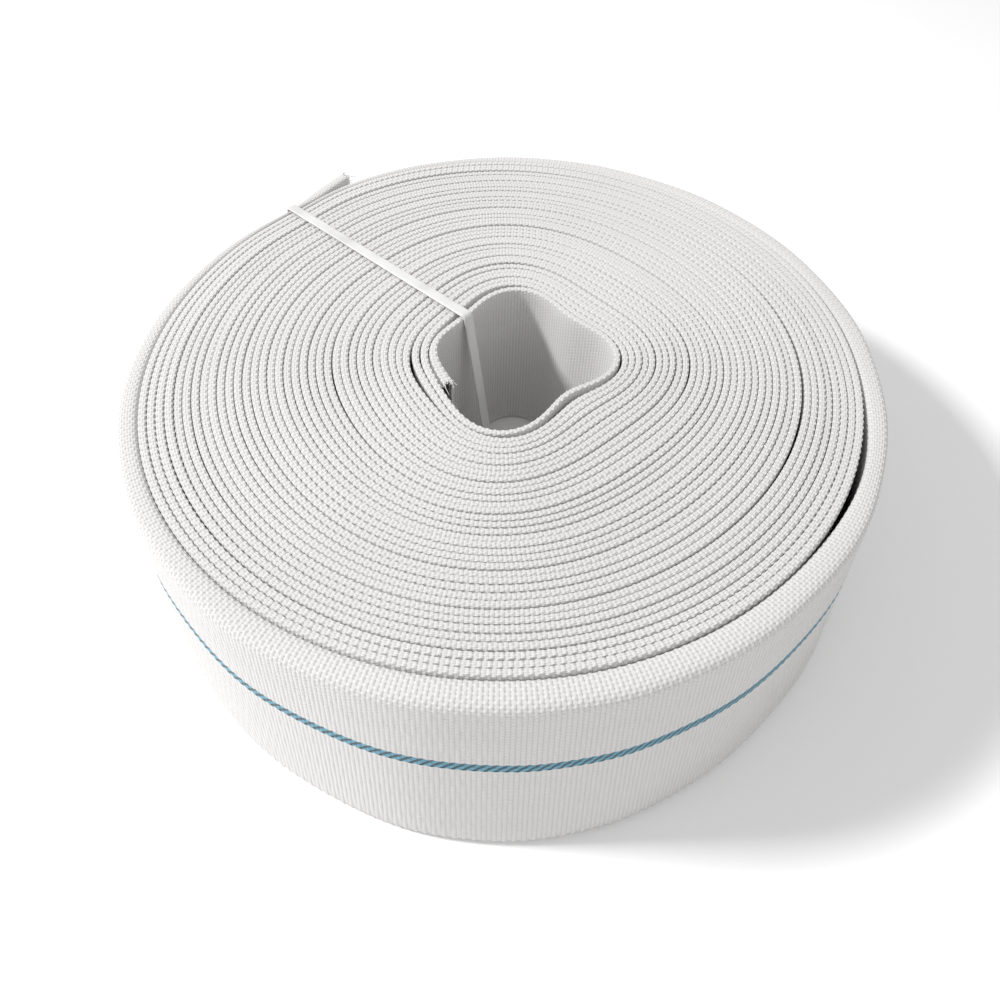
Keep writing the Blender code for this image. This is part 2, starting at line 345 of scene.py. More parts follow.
@dataclass(frozen=True)
class Nylon:
    """Natural nylon: white, satin and a little see-through at its edges."""

    name: str
    colour: tuple[float, float, float, float] = shade(0.70, 0.70, 0.69)
    shadow: tuple[float, float, float, float] = shade(0.52, 0.515, 0.50)

    def material(self) -> bpy.types.Material:
        """Build the moulded plastic, with faint flow marks and scuffs.

        Returns:
            The material.
        """
        graph = Graph(self.name)
        flow = graph.noise(55.0, 4.0, (1.0, 1.0, 0.35))
        scuffs = graph.noise(700.0, 5.0)
        graph.feed(
            graph.surface.inputs["Base Color"],
            graph.mix(flow.between(0.4, 0.75), self.colour, self.shadow),
        )
        graph.feed(graph.surface.inputs["Roughness"], scuffs * 0.16 + 0.30)
        graph.bump(scuffs, 0.012 * MM)
        graph.surface.inputs["Subsurface Weight"].default_value = 0.15
        graph.surface.inputs["Subsurface Radius"].default_value = (0.002, 0.002, 0.0018)
        return graph.material


@dataclass(frozen=True)
class PvcLining:
    """The lining's grey-green PVC, with the weave telegraphing through it."""

    name: str
    colour: tuple[float, float, float, float] = shade(0.19, 0.20, 0.175)
    dusty: tuple[float, float, float, float] = shade(0.30, 0.305, 0.275)

    def material(self) -> bpy.types.Material:
        """Build the lining.

        Returns:
            The material.
        """
        graph = Graph(self.name)
        weft, warp = graph.weave_coordinates()
        print_through = abs((weft * math.pi).cosine()) * 0.6 + abs((warp * math.pi).cosine()) * 0.4
        dust = graph.noise(160.0, 5.0)
        graph.feed(
            graph.surface.inputs["Base Color"],
            graph.mix(dust.between(0.45, 0.75), self.colour, self.dusty),
        )
        graph.feed(graph.surface.inputs["Roughness"], dust * 0.2 + 0.42)
        graph.bump(print_through, 0.05 * MM)
        return graph.material


@dataclass(frozen=True)
class StudioPaper:
    """The pale floor."""

    name: str
    colour: tuple[float, float, float, float] = shade(0.97, 0.97, 0.97)

    def material(self) -> bpy.types.Material:
        """Build the paper, with a trace of tooth.

        Returns:
            The material.
        """
        graph = Graph(self.name)
        tooth = graph.noise(900.0, 3.0)
        graph.feed(
            graph.surface.inputs["Base Color"],
            graph.mix(tooth * 0.04, self.colour, shade(0.92, 0.92, 0.92)),
        )
        graph.surface.inputs["Roughness"].default_value = 0.9
        graph.surface.inputs["Specular IOR Level"].default_value = 0.1
        return graph.material


# ---------------------------------------------------------------- how the roll has settled


@dataclass(frozen=True)
class Settle:
    """One way the roll has settled out of round: a bell in direction and in height."""

    direction: float
    spread: float
    share: float
    foot_share: float


SETTLING = (
    Settle(math.radians(20.0), 0.70, 0.036, 0.020),
    Settle(math.radians(153.0), 0.42, -0.038, -0.020),
    Settle(math.radians(139.0), 0.12, -0.018, -0.010),
    Settle(math.radians(-28.0), 0.55, 0.004, 0.034),
    Settle(math.radians(-88.0), 0.34, 0.000, 0.036),
    Settle(math.radians(-90.0), 0.90, -0.006, 0.018),
    Settle(math.radians(-140.0), 0.60, 0.006, 0.022),
)
SETTLED_RADIUS = 146.0 * MM
SETTLED_HEIGHT = 84.0 * MM


def settled(points: Array) -> Array:
    """Move points to where they lie in the settled roll.

    Each point goes out or in by a share of its distance from the axis, times that distance
    over the roll's radius squared, so the core stays and the rim moves most. The share goes
    evenly from its value at the top to its value at the foot.

    Args:
        points: places, with x, y and z last.

    Returns:
        The settled places.
    """
    x, y, z = points[..., 0], points[..., 1], points[..., 2]
    angle = np.arctan2(y, x)
    rim = (x * x + y * y) / SETTLED_RADIUS ** 2
    foot = 1.0 - np.clip(z / SETTLED_HEIGHT, 0.0, 1.0)
    share = sum(
        (way.share + (way.foot_share - way.share) * foot)
        * round_the_circle(angle, way.direction, way.spread)
        for way in SETTLING
    )
    scale = 1.0 + share * rim
    return np.stack((x * scale, y * scale, z), axis=-1)


# ---------------------------------------------------------------- meshes


def tube(
    name: str,
    rings: Array,
    along: Array,
    around: Array,
    material: bpy.types.Material,
) -> bpy.types.Object:
    """Skin closed sections into a capped tube, with its own UV map.

    Vertex i, j is point j of section i. Each face joins two neighbours along the tube with
    two round it. The caps' edges are sharp, so that the shading runs on past them.

    Args:
        name: the piece's name.
        rings: points, as sections by points by 3.
        along: each section's first UV coordinate.
        around: second UV coordinate, one more than the points in a section.
        material: its finish.

    Returns:
        The piece, linked to the scene.
    """
    count, size = rings.shape[:2]
    index = np.arange(count * size).reshape(count, size)
    beside = np.roll(index, -1, axis=1)
    quads = np.stack((index[:-1], beside[:-1], beside[1:], index[1:]), axis=-1).reshape(-1, 4)
    uv = np.empty((count - 1, size, 4, 2))
    uv[:, :, :2, 0] = along[:-1, None, None]
    uv[:, :, 2:, 0] = along[1:, None, None]
    uv[:, :, ::3, 1] = around[None, :-1, None]
    uv[:, :, 1:3, 1] = around[None, 1:, None]

    corners = np.concatenate((quads.reshape(-1), index[0][::-1], index[-1]))
    starts = np.append(np.arange(0, quads.size, 4), (quads.size, quads.size + size))
    cap_uv = np.stack((np.repeat((along[0], along[-1]), size), np.tile(around[:-1], 2)), axis=-1)
    flat_uv = np.vstack((uv.reshape(-1, 2), cap_uv))

    points = settled(rings.reshape(-1, 3))
    if signed_volume(points, quads) < 0.0:
        corners, flat_uv, starts = turned_round(corners, flat_uv, starts)
    mesh = bpy.data.meshes.new(name)
    mesh.vertices.add(len(points))
    mesh.vertices.foreach_set("co", points.ravel())
    mesh.loops.add(corners.size)
    mesh.loops.foreach_set("vertex_index", corners)
    mesh.polygons.add(starts.size)
    mesh.polygons.foreach_set("loop_start", starts)
    mesh.update(calc_edges=True)
    mesh.uv_layers.new(name="weave").uv.foreach_set("vector", flat_uv.ravel())
    edges = np.empty(len(mesh.edges) * 2, dtype=np.int64)
    mesh.edges.foreach_get("vertices", edges)
    section = edges.reshape(-1, 2) // size
    rim = (section[:, 0] == section[:, 1]) & np.isin(section[:, 0], (0, count - 1))
    sharp = mesh.attributes.new("sharp_edge", "BOOLEAN", "EDGE")
    sharp.data.foreach_set("value", rim)
    mesh.validate()
    mesh.materials.append(material)
    piece = bpy.data.objects.new(name, mesh)
    bpy.context.scene.collection.objects.link(piece)
    return piece


def signed_volume(points: Array, quads: Array) -> float:
    """Six times the volume inside quads, which is negative when they face inwards."""
    a, b, c, d = (points[quads[:, k]] for k in range(4))
    return float((a * np.cross(b, c)).sum() + (a * np.cross(c, d)).sum())


def turned_round(corners: Array, uv: Array, starts: Array) -> tuple[Array, Array, Array]:
    """Reverse every face's corners, which turns a mesh the other way out.

    Args:
        corners: the faces' vertices, one face after another.
        uv: UV coordinates of the corners.
        starts: where each face starts.

    Returns:
        The same three, reversed.
    """
    ends = np.append(starts[1:], corners.size)
    return corners[::-1].copy(), uv[::-1].copy(), np.sort(corners.size - ends)


# ---------------------------------------------------------------- the winding


@dataclass(frozen=True)
class Gap:
    """A place where a turn has come away from the one inside it, over part of its round."""

    turn: float
    direction: float
    width: float
    spread: float = 0.55
    settles: float = 4.0


@dataclass(frozen=True)
class Winding:
    """The spiral that the pressed-flat hose follows, seen from above.

    A point's distance from the roll's axis is the core's radius, plus a pitch for each
    turn, plus the core's corners and its offset, which fade out towards the outside.
    """

    flat_width: float = 84.0 * MM
    flat_thickness: float = 2.0 * MM
    full_turns: int = 36
    core_radius: float = 34.0 * MM
    turn_gap: float = 0.30 * MM
    core_end_angle: float = math.radians(209.0)
    core_centre: tuple[float, float] = (8.0 * MM, -9.0 * MM)
    core_lobes: tuple[tuple[int, float, float], ...] = (
        (2, 2.0 * MM, math.radians(75.0)),
        (3, 2.5 * MM, math.radians(-3.0)),
        (4, 3.2 * MM, math.radians(-3.0)),
    )
    core_slit: float = 2.2 * MM
    core_slit_spans: tuple[tuple[float, float], ...] = ((0.06, 0.42), (0.52, 0.92))
    tie_angle: float = math.radians(139.0)
    tail_length: float = 40.0 * MM
    tail_kick: float = math.radians(4.0)
    tail_mouth: float = 7.0 * MM
    gaps: tuple[Gap, ...] = ()

    @property
    def tie_turn(self) -> float:
        """How many turns lie between the core end and the tie."""
        return self.full_turns + (self.core_end_angle - self.tie_angle) / TAU

    def angle(self, turn: Array) -> Array:
        """Direction from the core, clockwise as the turns go outwards."""
        return self.core_end_angle - TAU * turn

    def lobes(self, angle: Array) -> Array:
        """How far the core's corners stand out: a sum of cosines of whole counts."""
        return sum(
            height * np.cos(count * (angle - corner))
            for count, height, corner in self.core_lobes
        )

    @property
    def pitch(self) -> float:
        """Distance between turns that leaves the turn gap between them all the way round."""
        angle = np.linspace(0.0, TAU, 181)[:-1]
        slope = np.gradient(self.lobes(angle), angle[1]) / (
            self.core_radius + self.flat_thickness / 2
        )
        room = (self.flat_thickness + self.turn_gap) * np.hypot(1.0, slope)
        offset = self.core_centre[0] * np.cos(angle) + self.core_centre[1] * np.sin(angle)
        return float((room + (self.lobes(angle) + offset) / self.tie_turn).max())

    def opened(self, turn: Array) -> Array:
        """How far the gaps push each turn outwards.

        A gap is a soft bell round its own direction. It starts half a turn before it, where
        the bell is next to nothing, and dies away exponentially over the turns beyond.
        """
        total = np.zeros_like(turn)
        for gap in self.gaps:
            beyond = turn - gap.turn
            bell = round_the_circle(self.angle(turn), gap.direction, gap.spread)
            fade = np.exp(-np.maximum(beyond, 0.0) / gap.settles)
            total += gap.width * bell * ease((beyond + 0.5) / 0.2) * fade
        return total * ease((self.tie_turn - turn) / 1.5)

    def centre(self, turn: Array, out: Array | float = 0.0) -> Array:
        """Points of the spiral.

        Args:
            turn: how many turns from the core end.
            out: extra distance outwards.

        Returns:
            Points, one row each, as x and y.
        """
        angle = self.angle(turn)
        fade = 1.0 - turn / self.tie_turn
        radius = self.core_radius + self.flat_thickness / 2 + self.pitch * turn
        radius = radius + self.lobes(angle) * fade + self.opened(turn) + out
        for low, high in self.core_slit_spans:
            radius = radius - self.core_slit * hump(turn, low, high)
        ray = np.stack((np.cos(angle), np.sin(angle)), axis=-1)
        return np.asarray(self.core_centre) * fade[:, None] + ray * radius[:, None]


CORE_SLIT_GAP = Gap(2.5, math.radians(-160.0), 2.5 * MM, 0.3, 1.2)


def loose_places(winding: Winding, count: int = 14, seed: int = 5) -> tuple[Gap, ...]:
    """Gaps of a roll wound by hand: places where a turn stands off the one inside it.

    Their turns and widths are drawn evenly from a range by a seeded generator, and each lies
    in the direction that its turn passes through. The slit left of the core is given separately.

    Args:
        winding: the spiral that they open.
        count: how many are drawn.
        seed: the generator's seed.

    Returns:
        The gaps.
    """
    chance = np.random.default_rng(seed)
    turns = chance.uniform(5.0, winding.full_turns - 3.0, count)
    widths = chance.uniform(0.3, 0.55, count) * MM
    drawn = tuple(
        Gap(float(turn), winding.core_end_angle - TAU * float(turn), float(width))
        for turn, width in zip(turns, widths)
    )
    return (CORE_SLIT_GAP, *drawn)


def spaced(turns: Array, points: Array, step: float) -> tuple[Array, Array]:
    """Find evenly spaced places along a path.

    Args:
        turns: the path's parameter.
        points: its points.
        step: the spacing wanted.

    Returns:
        The parameter at each place, and the length of path up to it.
    """
    pieces = np.linalg.norm(np.diff(points, axis=0), axis=1)
    length = np.concatenate(([0.0], np.cumsum(pieces)))
    count = max(int(round(length[-1] / step)), 1)
    places = np.linspace(0.0, length[-1], count + 1)
    return np.interp(places, length, turns), places


def directions(points: Array) -> tuple[Array, Array]:
    """Travel and outward directions along a path wound clockwise.

    Args:
        points: the path, in x and y.

    Returns:
        Unit vectors along it, and to its left, which is away from the roll's axis.
    """
    along = np.gradient(points, axis=0)
    along /= np.linalg.norm(along, axis=1)[:, None]
    return along, np.stack((-along[:, 1], along[:, 0]), axis=-1)


class Mouth(Enum):
    """Which end of a stretch of hose is cut open."""

    NONE = "none"
    FIRST = "first"
    LAST = "last"


@dataclass
class Stretch:
    """A stretch of hose: places along it, and how thick and tall it is at each.

    Thicknesses are measured inwards and outwards from the pressed-flat hose's middle.
    """

    points: Array
    length: Array
    inner_bead: Array
    outer_bead: Array
    inner_web: Array
    outer_web: Array
    low: Array
    high: Array

    def part(self, chosen: slice) -> Stretch:
        """The same facts for some of the places."""
        return Stretch(*(getattr(self, name)[chosen] for name in self.__dataclass_fields__))


@dataclass(frozen=True)
class Fineness:
    """How many points go round a section: over each fold, and down each face."""

    top: int
    face: int
    bottom: int


@dataclass
class FlatHose:
    """The pressed-flat woven tube as sections carried along a path."""

    weft_pitch: float = 1.5 * MM
    warp_pitch: float = 0.9 * MM
    relief: float = 0.26 * MM
    fold_reach: float = 1.45 * MM
    bead_height: float = 5.5 * MM
    squareness: float = 3.7
    mouth_depth: float = 15.0 * MM
    wall: float = 0.75 * MM
    few_rows: tuple[float, ...] = (0.018, 0.055, 0.945, 0.982)

    def outline(self, stretch: Stretch, fine: Fineness, inset: float = 0.0) -> Array:
        """Work out every section in its own plane, outwards and upwards.

        Each fold is half a superellipse as deep as the fold's reach, and as wide as the
        beads. Below it, the faces ease from the beads' thickness to the web's.

        Args:
            stretch: the places.
            fine: how many points each part of the section has.
            inset: how far in from the surface the section lies.

        Returns:
            Sections by points by 2, going from the outer face over the top to the inner
            face and back underneath.
        """
        power = 2.0 / self.squareness
        inner = stretch.inner_bead[:, None] - inset
        outer = stretch.outer_bead[:, None] - inset
        high = stretch.high[:, None] - inset
        low = stretch.low[:, None] + inset
        middle = (outer - inner) / 2
        half = (outer + inner) / 2
        reach = np.maximum(self.fold_reach, half * 0.85) - inset * 0.5
        turn = np.linspace(0.0, math.pi, fine.top)[None, :]
        across = middle + half * soft_power(np.cos(turn), power)
        up = high - reach + reach * soft_power(np.sin(turn), power)
        turn = np.linspace(0.0, math.pi, fine.bottom)[None, :]
        across_low = middle - half * soft_power(np.cos(turn), power)
        up_low = low + reach - reach * soft_power(np.sin(turn), power)

        share = np.linspace(0.0, 1.0, fine.face + 2)[None, 1:-1]
        if fine.face <= len(self.few_rows):
            share = np.array(self.few_rows)[None, :]
        heights = (high - reach) * share + (low + reach) * (1.0 - share)
        edge = np.minimum(heights - low, high - heights)
        web = ease((edge - self.fold_reach) / self.bead_height)
        inner_face = -(inner + (stretch.inner_web[:, None] - inset - inner) * web)
        outer_face = outer + (stretch.outer_web[:, None] - inset - outer) * web
        return np.concatenate(
            (
                np.stack((across, up), axis=-1),
                np.stack((inner_face, heights), axis=-1)[:, ::-1],
                np.stack((across_low, up_low), axis=-1),
                np.stack((outer_face, heights), axis=-1),
            ),
            axis=1,
        )

    def girth(self, outline: Array, fine: Fineness) -> Array:
        """Distance round a section from halfway up the outer face, in warp pitches.

        Args:
            outline: sections in their own planes.
            fine: not used.

        Returns:
            One value for each point, and one more for the first point met again.
        """
        mean = outline.mean(axis=0)
        steps = np.linalg.norm(np.roll(mean, -1, axis=0) - mean, axis=1)
        length = np.concatenate(([0.0], np.cumsum(steps)))
        middle = (mean[:, 1].max() + mean[:, 1].min()) / 2
        below_top = mean[0, 1] - middle
        pairs = round(length[-1] / self.warp_pitch / 2.0)
        return (length - length[-1] + below_top) * (2.0 * pairs / length[-1])

    def normals(self, outline: Array) -> Array:
        """Unit directions out of each section at its points, from its neighbours."""
        run = np.roll(outline, -1, axis=1) - np.roll(outline, 1, axis=1)
        out = np.stack((run[..., 1], -run[..., 0]), axis=-1)
        return out / np.maximum(np.linalg.norm(out, axis=-1), 1e-9)[..., None]

    def place(self, stretch: Stretch, outline: Array) -> Array:
        """Stand sections up across the path.

        Args:
            stretch: the places.
            outline: sections in their own planes.

        Returns:
            Sections by points by 3.
        """
        _, outward = directions(stretch.points)
        ground = stretch.points[:, None, :] + outward[:, None, :] * outline[..., :1]
        return np.concatenate((ground, outline[..., 1:]), axis=-1)

    def skin(
        self,
        name: str,
        stretch: Stretch,
        fine: Fineness,
        material: bpy.types.Material,
        mouth: Mouth = Mouth.NONE,
    ) -> bpy.types.Object:
        """Make one closed stretch of jacket, with the weave's relief on its surface.

        The relief is its height times the cosine of the length in weft pitches times the
        cosine of the girth in warp pitches, which is how a plain weave's yarns stand out.
        An open mouth turns in over the cut edge and runs back inside to its depth.

        Args:
            name: the piece's name.
            stretch: the places.
            fine: how many points each part of the section has.
            material: its finish.
            mouth: which end is open.

        Returns:
            The piece.
        """
        outline = self.outline(stretch, fine)
        around = self.girth(outline, fine)
        along = stretch.length / self.weft_pitch
        weave = np.cos(math.pi * along)[:, None] * np.cos(math.pi * around[:-1])[None, :]
        fold = np.zeros(outline.shape[1])
        fold[: fine.top] = 1.0
        if fine.face > len(self.few_rows):
            fold[:] = 1.0
        raised = outline + self.normals(outline) * (self.relief * (weave - 1.0) * fold)[..., None]
        rings = self.place(stretch, raised)
        if mouth is not Mouth.NONE:
            rings, along = self.turned_in(rings, along, stretch, fine, mouth)
        return tube(name, rings, along, around, material)

    def turned_in(
        self, rings: Array, along: Array, stretch: Stretch, fine: Fineness, mouth: Mouth
    ) -> tuple[Array, Array]:
        """Add the inner wall of an open mouth to a stretch's sections.

        Args:
            rings: the outside's sections.
            along: their places in weft pitches.
            stretch: the same places.
            fine: how many points each part has.
            mouth: which end is open.

        Returns:
            All the sections, and their places.
        """
        from_end = np.abs(stretch.length - stretch.length[-1 if mouth is Mouth.LAST else 0])
        near = from_end <= self.mouth_depth
        chosen = slice(int(np.argmax(near)), int(len(near) - np.argmax(near[::-1])))
        inside_places = stretch.part(chosen)
        inside = self.place(inside_places, self.outline(inside_places, fine, self.wall))
        places = along[chosen]
        if mouth is Mouth.LAST:
            return np.concatenate((rings, inside[::-1])), np.append(along, places[::-1])
        return np.concatenate((inside[::-1], rings)), np.append(places[::-1], along)


@dataclass
class WoundHose:
    """The whole hose: 35 turns pressed close, one loose turn round them, and the tail."""

    winding: Winding
    shift: Array
    shape: FlatHose = field(default_factory=FlatHose)
    full_shape: FlatHose = field(
        default_factory=lambda: FlatHose(squareness=3.2, relief=0.17 * MM)
    )
    ring_step: float = 0.75 * MM
    pieces: int = 7
    clearance: float = -0.17 * MM
    thickest_bead: float = 1.85 * MM
    inmost_bead: float = 1.45 * MM
    height: float = 84.0 * MM
    unevenness: float = 0.50 * MM
    looseness: float = 0.18 * MM
    core_mouth: float = 5.2 * MM
    core_mouth_shut: float = 0.12
    outer_thickness: float = 6.5 * MM
    outer_slack: float = 1.2 * MM
    outer_swell: float = 0.22
    outer_shut: float = 0.14
    tail_mouth: float = 7.0 * MM
    tail_fills: float = 20.0 * MM
    front_bulge: float = 2.2 * MM
    front_direction: float = math.radians(-92.0)
    front_spread: float = 0.75
    dent: float = 0.5 * MM
    dent_direction: float = math.radians(-80.0)
    dent_spread: float = 0.06
    tight_bead: float = 0.42 * MM
    samples: int = 720
    outer_drop: float = 0.02
    tail_drop: float = 0.10
    outer_snug: float = 0.5 * MM
    ripple: float = 0.35 * MM
    side_gap: float = 1.9 * MM
    side_gap_direction: float = math.radians(-26.0)
    side_gap_spread: float = 0.17
    turns_fine: Fineness = Fineness(12, 4, 5)
    outer_fine: Fineness = Fineness(20, 15, 7)

    def lay(self, turn: Array) -> Array:
        """How far each place's fold stands above or below the others: three slow waves."""
        return self.unevenness * (
            0.5 * np.sin(2.399 * turn) + 0.3 * np.sin(5.1 * turn + 1.0)
            + 0.2 * np.sin(TAU * 3.07 * turn)
        )

    def room(self, winding: Winding, turn: Array, step: float, outward: Array) -> Array:
        """Half of the room between each turn and the next one out or in, less the clearance.

        Args:
            winding: the spiral, with or without its gaps.
            turn: places, in turns.
            step: one turn out, or one turn in as a negative number.
            outward: unit directions away from the roll's axis.

        Returns:
            Half distances, measured outwards.
        """
        other = winding.centre(np.maximum(turn + step, 0.0))
        apart = (other - winding.centre(turn)) * outward
        return np.abs(apart.sum(axis=1)) / 2 - self.clearance

    def turns(self) -> Stretch:
        """Work out the close turns, from the core end to one turn before the tie.

        Half of the room to each neighbouring turn goes to the bead on that side.

        Returns:
            Their places.
        """
        last = self.winding.tie_turn - 1.0
        dense = np.linspace(0.0, last, int(last * self.samples))
        turn, length = spaced(dense, self.winding.centre(dense), self.ring_step)
        points = self.winding.centre(turn)
        _, outward = directions(points)
        pressed = replace(self.winding, gaps=(), core_slit_spans=())
        room_out = np.minimum(
            self.room(self.winding, turn, 1.0, outward), self.room(pressed, turn, 1.0, outward)
        )
        room_in = np.minimum(
            self.room(self.winding, turn, -1.0, outward), self.room(pressed, turn, -1.0, outward)
        )
        loose = np.sin(TAU * 0.37 * turn) * np.sin(TAU * 0.23 * turn + 1.0)
        loose = self.looseness * np.maximum(loose, 0.0)
        bead_out = np.minimum(room_out - loose, self.thickest_bead)
        bead_in = np.where(turn < 1.0, self.inmost_bead,
                           np.minimum(room_in, self.thickest_bead))
        opening = (self.core_mouth - self.winding.flat_thickness) * (
            1.0 - ease(turn / self.core_mouth_shut)
        )
        half = self.winding.flat_thickness / 2
        lift = self.lay(turn)
        shrink = (math.pi / 2 - 1.0) * opening
        return Stretch(
            points=points + self.shift,
            length=np.round(length / length[1], 0) * self.ring_step,
            inner_bead=bead_in + opening,
            outer_bead=bead_out,
            inner_web=np.minimum(half, bead_in) + opening,
            outer_web=np.minimum(half, bead_out),
            low=np.zeros_like(turn),
            high=self.height - self.unevenness + lift - shrink,
        )

    def outer(self) -> Stretch:
        """Work out the loose outermost turn and the tail that lies on past the tie.

        It thickens from flat under the tie to a filled-out tube, stands off the turn
        inside it, bulges at the front, and has one soft dent. The tail leaves straight,
        turned out by its kick, and opens towards its cut end.

        Returns:
            Its places.
        """
        wind = self.winding
        first, last = wind.tie_turn - 1.0, wind.tie_turn
        dense = np.linspace(first, last, 2 * self.samples)
        path = wind.centre(dense, self.outer_out(dense))
        turn, length = spaced(dense, path, self.ring_step)
        swell = self.outer_growth(turn)
        slack = self.outer_out(turn)
        points = wind.centre(turn, slack)
        dent = self.dent * round_the_circle(
            wind.angle(turn), self.dent_direction, self.dent_spread
        )

        leave = points[-1] - points[-2]
        heading = math.atan2(leave[1], leave[0]) + wind.tail_kick
        tail = np.arange(self.ring_step, wind.tail_length + self.ring_step / 2, self.ring_step)
        ray = np.array((math.cos(heading), math.sin(heading)))
        tail_points = points[-1] + ray * tail[:, None]
        opening = (self.tail_mouth - wind.flat_thickness) * ease(tail / self.tail_fills) / 2

        half = wind.flat_thickness / 2
        gap = round_the_circle(wind.angle(turn), self.side_gap_direction, self.side_gap_spread)
        filled = np.maximum(slack - self.side_gap * gap, 0.0)
        ripple = 0.5 * np.sin(9.0 * wind.angle(turn) + 1.0) + 0.5 * np.sin(17.0 * wind.angle(turn))
        ripple = ripple * self.ripple * ease(swell / (2.0 * MM))
        outer_web = np.concatenate((half + swell - dent + ripple, half + opening))
        closer = self.outer_snug * (1.0 - gap) * ease(swell / (1.0 * MM))
        inner_web = np.concatenate((half + filled + closer, half + opening))
        bead = self.tight_bead * (1.0 - ease(np.append(swell, opening * 2) / (3.0 * MM)))
        drop = np.append((swell + filled) * self.outer_drop, opening * self.tail_drop)
        everything = np.concatenate((points, tail_points)) + self.shift
        places = np.append(length, length[-1] + tail)
        rise = self.height - self.unevenness - drop
        return Stretch(
            points=everything,
            length=np.round(places / self.ring_step, 0) * self.ring_step,
            inner_bead=inner_web + bead,
            outer_bead=outer_web + bead,
            inner_web=inner_web,
            outer_web=outer_web,
            low=np.zeros_like(places),
            high=rise,
        )

    def outer_growth(self, turn: Array) -> Array:
        """Extra thickness of the loose turn, which is nothing under the tie at both ends."""
        wind = self.winding
        grow = ease((turn - (wind.tie_turn - 1.0)) / self.outer_swell)
        shut = ease((wind.tie_turn - turn) / self.outer_shut)
        return (self.outer_thickness - wind.flat_thickness) * grow * shut

    def outer_out(self, turn: Array) -> Array:
        """How far the loose turn stands off, with more at the front where it bulges."""
        wind = self.winding
        front = round_the_circle(wind.angle(turn), self.front_direction, self.front_spread)
        rise = hump(turn, wind.tie_turn - 1.0, wind.tie_turn)
        return self.outer_slack * rise + self.front_bulge * front * rise

    def build(self, material: bpy.types.Material) -> list[bpy.types.Object]:
        """Make every stretch and say what it rides on.

        Args:
            material: the jacket's finish.

        Returns:
            The pieces, from the core outwards.
        """
        turns = self.turns()
        count = len(turns.length)
        repeat = int(round(2.0 * self.shape.weft_pitch / self.ring_step))
        cuts = [round(k * count / self.pieces / repeat) * repeat for k in range(self.pieces)]
        cuts.append(count - 1)
        made = []
        for number, (low, high) in enumerate(zip(cuts, cuts[1:]), start=1):
            part = turns.part(slice(low, high + 1))
            mouth = Mouth.FIRST if number == 1 else Mouth.NONE
            name = f"woven_jacket_turns_{number}"
            piece = self.shape.skin(name, part, self.turns_fine, material, mouth)
            made.append(self.declare(piece))
        outer = self.outer()
        piece = self.full_shape.skin(
            "woven_jacket_outer", outer, self.outer_fine, material, Mouth.LAST
        )
        made.append(self.declare(piece))
        return made

    def declare(self, piece: bpy.types.Object) -> bpy.types.Object:
        """Say what this stretch rides on."""
        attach(piece, BODY)
        return piece


# ---------------------------------------------------------------- lining and frayed ends


@dataclass
class Lining:
    """The PVC tube inside the jacket, seen only at a cut end."""

    hose: WoundHose
    wall: float = 0.55 * MM
    clearance: float = 0.12 * MM
    setback: float = 0.6 * MM
    depth: float = 14.0 * MM
    fine: Fineness = Fineness(16, 10, 7)

    def build(
        self, name: str, stretch: Stretch, mouth: Mouth, material: bpy.types.Material
    ) -> bpy.types.Object:
        """Make the lining of one mouth: out along its outside, over its edge and back.

        Args:
            name: the piece's name.
            stretch: the stretch of hose that it lines.
            mouth: which end is open.
            material: its finish.

        Returns:
            The piece.
        """
        shape = self.hose.shape
        from_end = np.abs(stretch.length - stretch.length[-1 if mouth is Mouth.LAST else 0])
        near = np.flatnonzero((from_end >= self.setback) & (from_end <= self.depth))
        part = stretch.part(slice(near[0], near[-1] + 1))
        inset = shape.wall + self.clearance
        outside = shape.outline(part, self.fine, inset)
        inside = shape.outline(part, self.fine, inset + self.wall)
        around = shape.girth(outside, self.fine)
        along = part.length / shape.weft_pitch
        rings = [shape.place(part, outside), shape.place(part, inside)]
        if mouth is Mouth.FIRST:
            rings = [ring[::-1] for ring in rings]
            along = along[::-1]
        rings = np.concatenate((rings[0], rings[1][::-1]))
        along = np.append(along, along[::-1])
        piece = tube(name, rings, along, around, material)
        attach(piece, BODY)
        log.info("%s: lines a mouth %.1f mm deep", name, self.depth / MM)
        return piece


